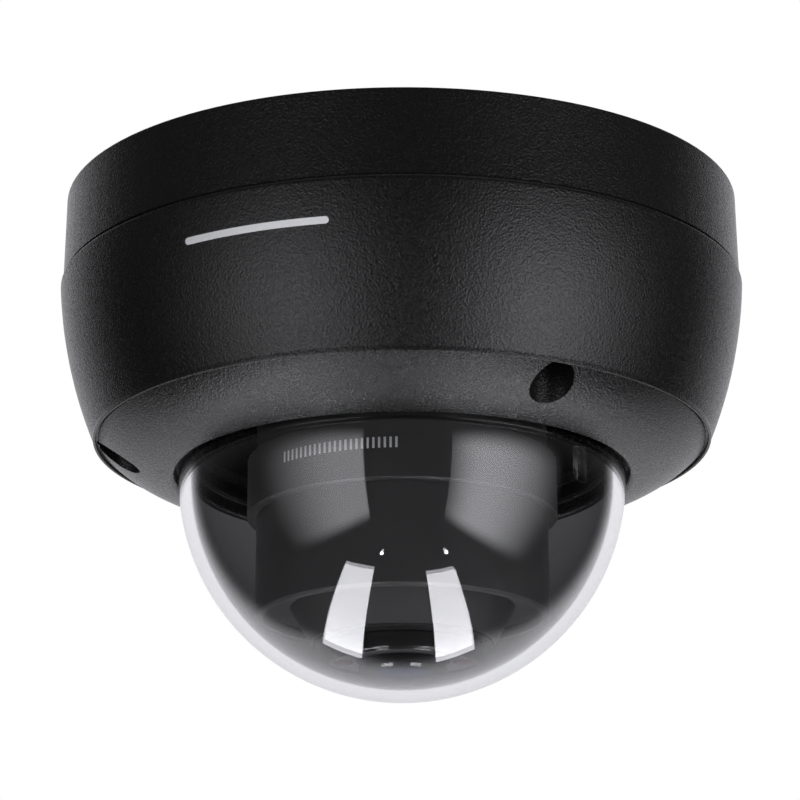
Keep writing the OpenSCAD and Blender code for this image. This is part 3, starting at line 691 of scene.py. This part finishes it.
@dataclass
class Outline:
    """A line of points as radius and depth below the ceiling, in millimetres."""

    points: list[Point] = field(default_factory=list)

    def to(self, *points: Point) -> Outline:
        """Goes straight through more points."""
        self.points.extend(points)
        return self

    def bow(self, end: Point, rise: float, steps: int) -> Outline:
        """Goes to a point on an arc.

        Args:
            end: the arc's last point.
            rise: how far the arc stands out from the straight way, outwards where above 0.
            steps: how many pieces it has.

        Returns:
            The outline itself.
        """
        start = Vector(self.points[-1])
        chord = Vector(end) - start
        side = Vector((chord.y, -chord.x)).normalized()
        radius = (chord.length**2 / 4 + rise**2) / (2 * rise)
        middle = start + chord / 2 - side * (radius - rise)
        half = math.asin(chord.length / 2 / abs(radius))
        for i in range(1, steps + 1):
            turn = -half + 2 * half * i / steps
            along = chord.normalized() * (math.sin(turn) * abs(radius))
            point = middle + side * (math.cos(turn) * radius) + along
            self.points.append((point.x, point.y))
        return self

    def fillet(
        self, centre: Point, radius: float, start: float, end: float, steps: int
    ) -> Outline:
        """Goes round part of a circle.

        Args:
            centre: the circle's middle.
            radius: its radius.
            start: the first angle in degrees, from outwards towards the floor.
            end: the last angle.
            steps: how many pieces it has.

        Returns:
            The outline itself.
        """
        for i in range(steps + 1):
            out, down = polar(radius, start + (end - start) * i / steps)
            self.points.append((centre[0] + out, centre[1] + down))
        return self


def make_object(name: str, mesh: bpy.types.Mesh) -> bpy.types.Object:
    """Puts a mesh in the scene as an object at the origin."""
    made = bpy.data.objects.new(name, mesh)
    bpy.context.scene.collection.objects.link(made)
    return made


def smooth(mesh: bpy.types.Mesh) -> None:
    """Shades a mesh smooth, apart from its creases."""
    mesh.polygons.foreach_set("use_smooth", [True] * len(mesh.polygons))
    mesh.set_sharp_from_angle(angle=CREASE)
    mesh.update()


def mesh_from(name: str, build: bmesh.types.BMesh) -> bpy.types.Object:
    """Turns a bmesh into an object with outward faces and smooth shading."""
    bmesh.ops.remove_doubles(build, verts=build.verts[:], dist=WELD)
    bmesh.ops.recalc_face_normals(build, faces=build.faces[:])
    mesh = bpy.data.meshes.new(name)
    build.to_mesh(mesh)
    build.free()
    smooth(mesh)
    return make_object(name, mesh)


def spin(name: str, outline: Outline, segments: int) -> bpy.types.Object:
    """Turns a closed outline round the Z axis.

    Args:
        name: the new object's name.
        outline: the closed outline.
        segments: how many pieces go round.

    Returns:
        The turned object.
    """
    build = bmesh.new()
    rings: list[list[bmesh.types.BMVert]] = []
    for radius, depth in outline.points:
        ring = []
        for i in range(segments if radius > WELD else 1):
            x, y = polar(radius * MM, 360 * i / segments)
            ring.append(build.verts.new((x, y, -depth * MM)))
        rings.append(ring)
    for first, second in zip(rings, rings[1:] + rings[:1]):
        if len(first) == 1 and len(second) == 1:
            continue
        for i in range(segments):
            j = (i + 1) % segments
            corners = [first[i % len(first)], first[j % len(first)]]
            corners += [second[j % len(second)], second[i % len(second)]]
            build.faces.new(list(dict.fromkeys(corners)))
    return mesh_from(name, build)


def keep_result(obj: bpy.types.Object) -> None:
    """Makes what an object's modifiers give its own mesh."""
    evaluated = obj.evaluated_get(bpy.context.evaluated_depsgraph_get())
    mesh = bpy.data.meshes.new_from_object(evaluated)
    obj.modifiers.clear()
    obj.data = mesh
    smooth(mesh)


# Geometry nodes


class RingNodes:
    """Geometry nodes that repeat a small part on an arc round the Z axis."""

    NUMBERS = ("Count", "Radius", "Start", "Sweep", "Height")

    def __init__(self) -> None:
        """Builds the tree once, for every ring of parts."""
        self.group = bpy.data.node_groups.new("ring_of_parts", "GeometryNodeTree")
        self.keys: dict[str, str] = {}
        self._add_socket("Part", "Geometry")
        for name in self.NUMBERS:
            self._add_socket(name, "Int" if name == "Count" else "Float")
        self._add_socket("Finish", "Material")
        self._add_socket("Ring", "Geometry", "OUTPUT")
        tree = NodeTree(self.group)
        given = tree.node("NodeGroupInput").outputs
        count, radius, start, sweep, height = (Num(tree, given[name]) for name in self.NUMBERS)
        share = tree.number("GeometryNodeInputIndex") / (count - 1.0)
        angle = start + share * sweep
        x, y = (angle.maths(wave) * radius for wave in ("COSINE", "SINE"))
        place = tree.node("ShaderNodeCombineXYZ", None, {0: x, 1: y, 2: height}).outputs[0]
        facing = tree.node("ShaderNodeCombineXYZ", None, {2: angle}).outputs[0]
        rotation = tree.node("FunctionNodeEulerToRotation", None, {0: facing}).outputs[0]
        line = tree.node("GeometryNodeMeshLine", None, {"Count": count}).outputs[0]
        inputs = {"Geometry": line, "Position": place}
        spread = tree.node("GeometryNodeSetPosition", None, inputs).outputs[0]
        inputs = {"Points": spread, "Instance": given["Part"], "Rotation": rotation}
        copies = tree.node("GeometryNodeInstanceOnPoints", None, inputs).outputs[0]
        real = tree.node("GeometryNodeRealizeInstances", None, {0: copies}).outputs[0]
        inputs = {"Geometry": real, "Material": given["Finish"]}
        dressed = tree.node("GeometryNodeSetMaterial", None, inputs).outputs[0]
        tree.node("NodeGroupOutput", None, {0: dressed})

    def _add_socket(self, name: str, kind: str, way: str = "INPUT") -> None:
        """Adds a socket to the group and keeps its key."""
        made = self.group.interface.new_socket(
            name, in_out=way, socket_type=f"NodeSocket{kind}"
        )
        self.keys[name] = made.identifier

    def repeat(self, part: bpy.types.Object, **values: Any) -> None:
        """Turns a part into a ring of its copies.

        Args:
            part: the part, at the origin, facing +X.
            values: the tree's inputs by name.
        """
        step = part.modifiers.new("ring", "NODES")
        step.node_group = self.group
        for name, value in values.items():
            step[self.keys[name]] = value
        keep_result(part)


def small_bar(name: str, size: Sequence[float], bevel: float) -> bpy.types.Object:
    """A small bar with softened edges at the origin, its size in millimetres."""
    build = bmesh.new()
    scale = Matrix.Diagonal((*(side * MM for side in size), 1))
    bmesh.ops.create_cube(build, size=1.0, matrix=scale)
    edges = build.edges[:]
    bmesh.ops.bevel(
        build, geom=edges, offset=bevel * MM, segments=2, profile=0.5, affect="EDGES"
    )
    return mesh_from(name, build)


# The camera's sub-assemblies


@dataclass
class Cover:
    """The bulging cover: its outline, and what is printed on it. Sizes are in millimetres."""

    top_radius: float = 55.5
    top_depth: float = 14.6
    shoulder_radius: float = 49.95
    shoulder_depth: float = 39.9
    bulge: float = 1.1
    edge: float = 0.6
    wall_steps: int = 40
    mark_depth: float = 21.2
    mark_height: float = 1.1
    mark_angles: Point = (-127.0, -101.5)
    mark_steps: int = 72
    least_reach: float = 0.01
    ink: float = 0.05

    def wall(self) -> list[Point]:
        """The side wall's line from the seam to the shoulder."""
        start = (self.top_radius, self.top_depth + self.edge)
        outline = Outline([start])
        outline.bow((self.shoulder_radius, self.shoulder_depth), self.bulge, self.wall_steps)
        return outline.points

    def radius_at(self, depth: float) -> float:
        """The side wall's radius at a depth."""
        line = self.wall()
        for (r0, d0), (r1, d1) in zip(line, line[1:]):
            if d0 <= depth <= d1:
                return r0 + (r1 - r0) * (depth - d0) / (d1 - d0)
        return line[0][0]

    def build_mark(self, paint: Paintbox) -> bpy.types.Object:
        """Prints a plain silver bar with round ends on the wall, left of the front."""
        build = bmesh.new()
        half = self.mark_height / 2
        start, end = (math.radians(a) for a in self.mark_angles)
        cap = half / self.radius_at(self.mark_depth)
        rows: list[list[bmesh.types.BMVert]] = []
        for i in range(self.mark_steps + 1):
            share = (1 - math.cos(math.pi * i / self.mark_steps)) / 2
            turn = start + (end - start) * share
            inset = max(0.0, cap - min(turn - start, end - turn)) / cap
            reach = half * math.sqrt(max(0.0, 1 - inset * inset)) + self.least_reach
            row = []
            for lift, side in ((-self.ink, -1), (self.ink, -1), (self.ink, 1), (-self.ink, 1)):
                depth = self.mark_depth + side * reach
                radius = (self.radius_at(depth) + lift) * MM
                place = (radius * math.cos(turn), radius * math.sin(turn), -depth * MM)
                row.append(build.verts.new(place))
            rows.append(row)
        for first, second in zip(rows, rows[1:]):
            for k in range(4):
                n = (k + 1) % 4
                build.faces.new((first[k], first[n], second[n], second[k]))
        build.faces.new(rows[0])
        build.faces.new(reversed(rows[-1]))
        mark = mesh_from("front_mark", build)
        paint.dress(mark, Finish.INK)
        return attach(mark, "root")


@dataclass
class Bubble:
    """The clear bubble: a flange, a short skirt and half a sphere. Sizes are in millimetres."""

    centre: float = 46.4
    radius: float = 36.0
    wall: float = 2.0
    flange_radius: float = 40.2
    flange_top: float = 41.2
    flange_low: float = 43.4
    chamfer: float = 0.2
    neck: float = 0.3
    steps: int = 96
    segments: int = 288
    lug_angle: float = -35.0
    lug_size: Place = (0.9, 2.6, 5.5)
    lug_drop: float = 0.4
    lug_gap: float = 0.55

    def build_shell(self, paint: Paintbox) -> bpy.types.Object:
        """Spins the bubble."""
        inner = self.radius - self.wall
        top, low, out = self.flange_top, self.flange_low, self.flange_radius
        outline = Outline([(inner, top)])
        outline.to((out - self.chamfer, top), (out, top + self.chamfer))
        outline.to((out, low - self.chamfer), (out - self.chamfer, low))
        outline.to((self.radius + self.neck, low), (self.radius, low + self.neck))
        outline.fillet((0.0, self.centre), self.radius, 0, 90, self.steps)
        outline.points[-1] = (0.0, self.centre + self.radius)
        outline.fillet((0.0, self.centre), inner, 90, 0, self.steps)
        outline.points[-self.steps - 1] = (0.0, self.centre + inner)
        shell = spin("clear_bubble", outline, self.segments)
        paint.dress(shell, Finish.CLEAR)
        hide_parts("bubble")
        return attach(shell, "root")

    def build_lug(self, paint: Paintbox) -> bpy.types.Object:
        """The small moulded key inside the bubble's rim."""
        lug = small_bar("bubble_lug", self.lug_size, self.chamfer)
        reach = self.radius - self.wall - self.lug_size[0] / 2 - self.lug_gap
        x, y = polar(reach, self.lug_angle)
        low = self.centre + self.lug_drop + self.lug_size[2] / 2
        place = Matrix.Translation((x * MM, y * MM, -low * MM))
        lug.data.transform(place @ Matrix.Rotation(math.radians(self.lug_angle), 4, "Z"))
        paint.dress(lug, Finish.CLEAR)
        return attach(lug, "root")


@dataclass
class Turret:
    """What turns inside the bubble, and the scale printed on its band. Sizes in millimetres."""

    band_radius: float = 24.9
    scale_depth: float = 47.65
    ticks: int = 23
    first: float = -137.0
    sweep: float = 45.0
    tick_size: Place = (0.08, 0.36, 1.7)
    tick_bevel: float = 0.02

    def build_scale(self, paint: Paintbox, ring: RingNodes) -> bpy.types.Object:
        """Prints the row of angle ticks on the band."""
        tick = small_bar("angle_ticks", self.tick_size, self.tick_bevel)
        ring.repeat(
            tick,
            Count=self.ticks,
            Radius=self.band_radius * MM,
            Start=math.radians(self.first),
            Sweep=math.radians(self.sweep),
            Height=-self.scale_depth * MM,
            Finish=paint.material(Finish.TICK),
        )
        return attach(tick, "pan")


NODE_FINISH: dict[Finish, tuple[str, ...]] = {
    Finish.COAT: ("base_housing", "dome_cover"),
    Finish.COAT_INSIDE: ("tilt_cradle", "bubble_retainer"),
    Finish.TURRET: (
        "side_outlet_plug",
        "turret_base",
        "pan_retainer",
        "pan_bracket",
        "turret_drum",
        "lens_carrier",
        "rotation_ring",
        "front_plate",
        "lens_mount",
        "filter_slider",
    ),
    Finish.GLOSS: ("front_bezel", "lens_barrel"),
    Finish.RUBBER: (
        "cable_grommet",
        "cover_gasket",
        "screw_seals",
        "bubble_gasket",
        "friction_ring",
        "lens_seal",
    ),
    Finish.STEEL: (
        "cover_screws",
        "retainer_screws",
        "safety_lanyard",
        "lanyard_screws",
        "board_screws",
        "sd_card_slot",
        "turret_screws",
        "drum_screws",
        "tilt_pivots",
        "ring_screws",
        "lens_lock_ring",
    ),
    Finish.LENS: ("front_lens",),
    Finish.LAMP: ("lamp_lenses",),
    Finish.FILTER: ("filter_glasses",),
    Finish.BOARD: ("main_board", "sensor_board", "lamp_board"),
    Finish.CHIP: ("image_processor", "network_transformer", "reset_switch", "image_sensor"),
    Finish.SLEEVE: ("capacitors",),
    Finish.NYLON: ("board_connectors", "tilt_washers"),
    Finish.FILM: ("sensor_flex",),
    Finish.PAD: ("thermal_pad",),
    Finish.BUTTON: ("reset_button",),
    Finish.COPPER: ("filter_solenoid",),
    Finish.EMITTER: ("lamp_emitters",),
}


def dress_nodes(nodes: dict[str, bpy.types.Object], paint: Paintbox) -> None:
    """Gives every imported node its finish."""
    for finish, names in NODE_FINISH.items():
        for name in names:
            paint.dress(nodes[name], finish)


# The studio

HUB: Place = (0.0, 0.0, -Bubble.centre * MM)
STRIP_LEVEL = HUB[2] - 1.0
COOL: Colour = (0.96, 0.955, 1.0, 1.0)


@dataclass(frozen=True)
class Fade:
    """How a panel's glow changes from its first end to its second, and from its foot up.

    Each is a pair of shares of the panel's width or height.
    """

    rise: Point
    fall: Point
    foot: Point = (0.0, 0.2)
    head: Point = (0.8, 1.0)

    def soften(self, data: bpy.types.AreaLight) -> None:
        """Gives a light this glow."""
        tree = own_tree(data)
        across, up, _ = tree.split(tree.node("ShaderNodeNewGeometry").outputs["Parametric"])
        glow = across.ramp(*self.rise) * across.ramp(*self.fall, 1.0, 0.0)
        glow = glow * up.ramp(*self.foot) * up.ramp(*self.head, 1.0, 0.0)
        lit = tree.node("ShaderNodeEmission", None, {1: glow})
        tree.node("ShaderNodeOutputLight", None, {0: lit.outputs[0]})


@dataclass(frozen=True)
class Panel:
    """A soft rectangular light, which the camera doesn't see. Lengths are in metres.

    Its radiance is how bright its face is. Where it has a fade, its glow falls off towards
    its edges.
    """

    name: str
    place: Place
    towards: Place
    size: Point
    radiance: float
    fade: Fade | None = None

    def switch_on(self) -> bpy.types.Object:
        """Adds the light to the scene."""
        data = bpy.data.lights.new(self.name, "AREA")
        data.shape = "RECTANGLE"
        data.size, data.size_y = self.size
        data.energy = self.radiance * math.pi * self.size[0] * self.size[1]
        data.color = COOL[:3]
        if self.fade:
            self.fade.soften(data)
        light = bpy.data.objects.new(self.name, data)
        bpy.context.scene.collection.objects.link(light)
        light.location = self.place
        facing = (Vector(self.towards) - Vector(self.place)).to_track_quat("-Z", "Y")
        light.rotation_euler = facing.to_euler()
        light.visible_camera = False
        return light


@dataclass(frozen=True)
class Screen:
    """An upright softbox, which sight through the bubble doesn't meet.

    Its ends are on the floor plan, with the dome on the left of the way from the first to
    the second. Its heights are its lowest and its highest point.
    """

    name: str
    ends: tuple[Point, Point]
    heights: Point
    radiance: float
    fade: Fade

    def switch_on(self) -> bpy.types.Object:
        """Adds the light to the scene."""
        first, second = (Vector(end) for end in self.ends)
        middle = (first + second) / 2
        along = second - first
        level = sum(self.heights) / 2
        place = (*middle, level)
        towards = (middle.x - along.y, middle.y + along.x, level)
        size = (along.length, self.heights[1] - self.heights[0])
        light = Panel(self.name, place, towards, size, self.radiance, self.fade).switch_on()
        light.visible_transmission = False
        return light


LIGHTS: tuple[Panel | Screen, ...] = (
    Panel("strip_left", (-0.41, 0.07, STRIP_LEVEL), (-0.41, 0.07, 0.0), (0.3, 1.16), 6.6),
    Panel("strip_right", (0.35, 0.12, STRIP_LEVEL), (0.35, 0.12, 0.0), (0.28, 1.16), 6.6),
    Screen(
        name="side_left",
        ends=((-1.15, -0.25), (-0.4, -1.2)),
        heights=(-0.97, 0.2),
        radiance=3.3,
        fade=Fade(rise=(0.0, 0.75), fall=(0.97, 1.0)),
    ),
    Screen(
        name="side_right",
        ends=((0.55, -1.2), (1.2, 0.0)),
        heights=(-1.0, 0.2),
        radiance=4.7,
        fade=Fade(rise=(-0.12, 0.3), fall=(0.35, 1.0)),
    ),
    Panel("lamp_left", (-0.17, -0.6, -0.86), HUB, (0.022, 0.022), 110.0),
    Panel("lamp_right", (0.35, -0.54, -0.81), HUB, (0.022, 0.022), 110.0),
)


@dataclass(frozen=True)
class View:
    """The camera: what it looks at, from how far and at what angle in degrees."""

    target: Place = (-0.0003, 0.0, -0.033)
    distance: float = 0.7
    elevation: float = -17.3
    roll: float = 0.2
    lens: float = 194.3
    sensor: float = 36.0
    reach: Point = (0.01, 30.0)

    def set_up(self) -> None:
        """Sets the camera below the front, looking up."""
        data = bpy.data.cameras.new("view")
        data.lens = self.lens
        data.sensor_width = self.sensor
        data.clip_start, data.clip_end = self.reach
        camera = bpy.data.objects.new("view", data)
        bpy.context.scene.collection.objects.link(camera)
        rise = math.radians(self.elevation)
        back = Vector((0.0, -math.cos(rise), math.sin(rise)))
        camera.location = Vector(self.target) + back * self.distance
        facing = (-back).to_track_quat("-Z", "Y").to_matrix()
        tilt = Matrix.Rotation(math.radians(-self.roll), 3, "Z")
        camera.rotation_euler = (facing @ tilt).to_euler()
        bpy.context.scene.camera = camera


@dataclass(frozen=True)
class Floor:
    """A plain pale floor far below, which only sight reaches. Lengths are in metres."""

    depth: float = 1.9
    radius: float = 6.0
    segments: int = 96
    patch: float = 0.4
    dark: float = 0.84
    light: float = 0.9

    def lay(self) -> None:
        """Builds the floor."""
        build = bmesh.new()
        place = Matrix.Translation((0, 0, -self.depth))
        bmesh.ops.create_circle(
            build, cap_ends=True, segments=self.segments, radius=self.radius, matrix=place
        )
        floor = mesh_from("floor", build)
        tree = ShaderTree("pale_floor")
        mottle = tree.noise(self.patch, detail=3.0)
        tone = tree.blend(mottle, grey(self.dark), grey(self.light))
        tree.set(base_color=tone, roughness=0.8, emission_color=tone, emission_strength=0.8)
        floor.data.materials.append(tree.material)
        floor.visible_diffuse = False
        floor.visible_glossy = False
        floor.visible_transmission = False
        floor.visible_shadow = False


@dataclass(frozen=True)
class Surround:
    """White to the camera; to light a dim room with a bright sweep behind the dome.

    Past the bubble's second wall there is no sweep, so the bubble looks dark inside. Each
    pair is where an edge of the sweep starts and ends: its side as an angle in radians, the
    rest as the height of the way that the light comes from.
    """

    low_glow: float = 0.012
    high_glow: float = 0.09
    room_level: Point = (0.0, 0.35)
    sweep_glow: float = 0.83
    sweep_side: Point = (0.6, 0.9)
    sweep_low: Point = (-0.85, -0.7)
    sweep_high: Point = (0.5, 0.8)
    shell_crossings: float = 2.5

    def build(self) -> None:
        """Builds the surround."""
        world = bpy.data.worlds.new("surround")
        bpy.context.scene.world = world
        tree = own_tree(world)
        path = tree.node("ShaderNodeLightPath").outputs
        direct, crossed = (Num(tree, path[n]) for n in ("Is Camera Ray", "Transmission Depth"))
        x, y, z = tree.split(tree.node("ShaderNodeTexCoord").outputs["Generated"])
        behind = x.maths("ARCTAN2", y).size().ramp(*self.sweep_side, 1.0, 0.0)
        level = z.ramp(*self.sweep_low) * z.ramp(*self.sweep_high, 1.0, 0.0)
        sweep = behind * level * crossed.under(self.shell_crossings) * self.sweep_glow
        room = z.ramp(*self.room_level, self.low_glow, self.high_glow)
        strength = (sweep + room).maths("MAXIMUM", direct)
        tint = tree.blend(direct, COOL, grey(1.0))
        glow = tree.node("ShaderNodeBackground", None, {0: tint, 1: strength})
        tree.node("ShaderNodeOutputWorld", None, {0: glow.outputs[0]})
        bpy.context.scene.view_settings.view_transform = "Standard"


def corners(box: tuple[Vector, Vector]) -> list[list[float]]:
    """A box's two corners as plain numbers."""
    return [list(corner) for corner in box]


def main() -> None:
    """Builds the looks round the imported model."""
    logging.basicConfig(level=logging.INFO, format="%(name)s: %(message)s")
    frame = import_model()
    View().set_up()
    Surround().build()
    Floor().lay()
    for light in LIGHTS:
        light.switch_on()
    paint = Paintbox()
    ring = RingNodes()
    dress_nodes(frame["nodes"], paint)
    makers: list[Callable[[], bpy.types.Object]] = [
        lambda: Cover().build_mark(paint),
        lambda: Bubble().build_shell(paint),
        lambda: Bubble().build_lug(paint),
        lambda: Turret().build_scale(paint, ring),
    ]
    for make in makers:
        piece = make()
        LOG.info("%s: %d faces", piece.name, len(piece.data.polygons))


if __name__ == "__main__":
    main()
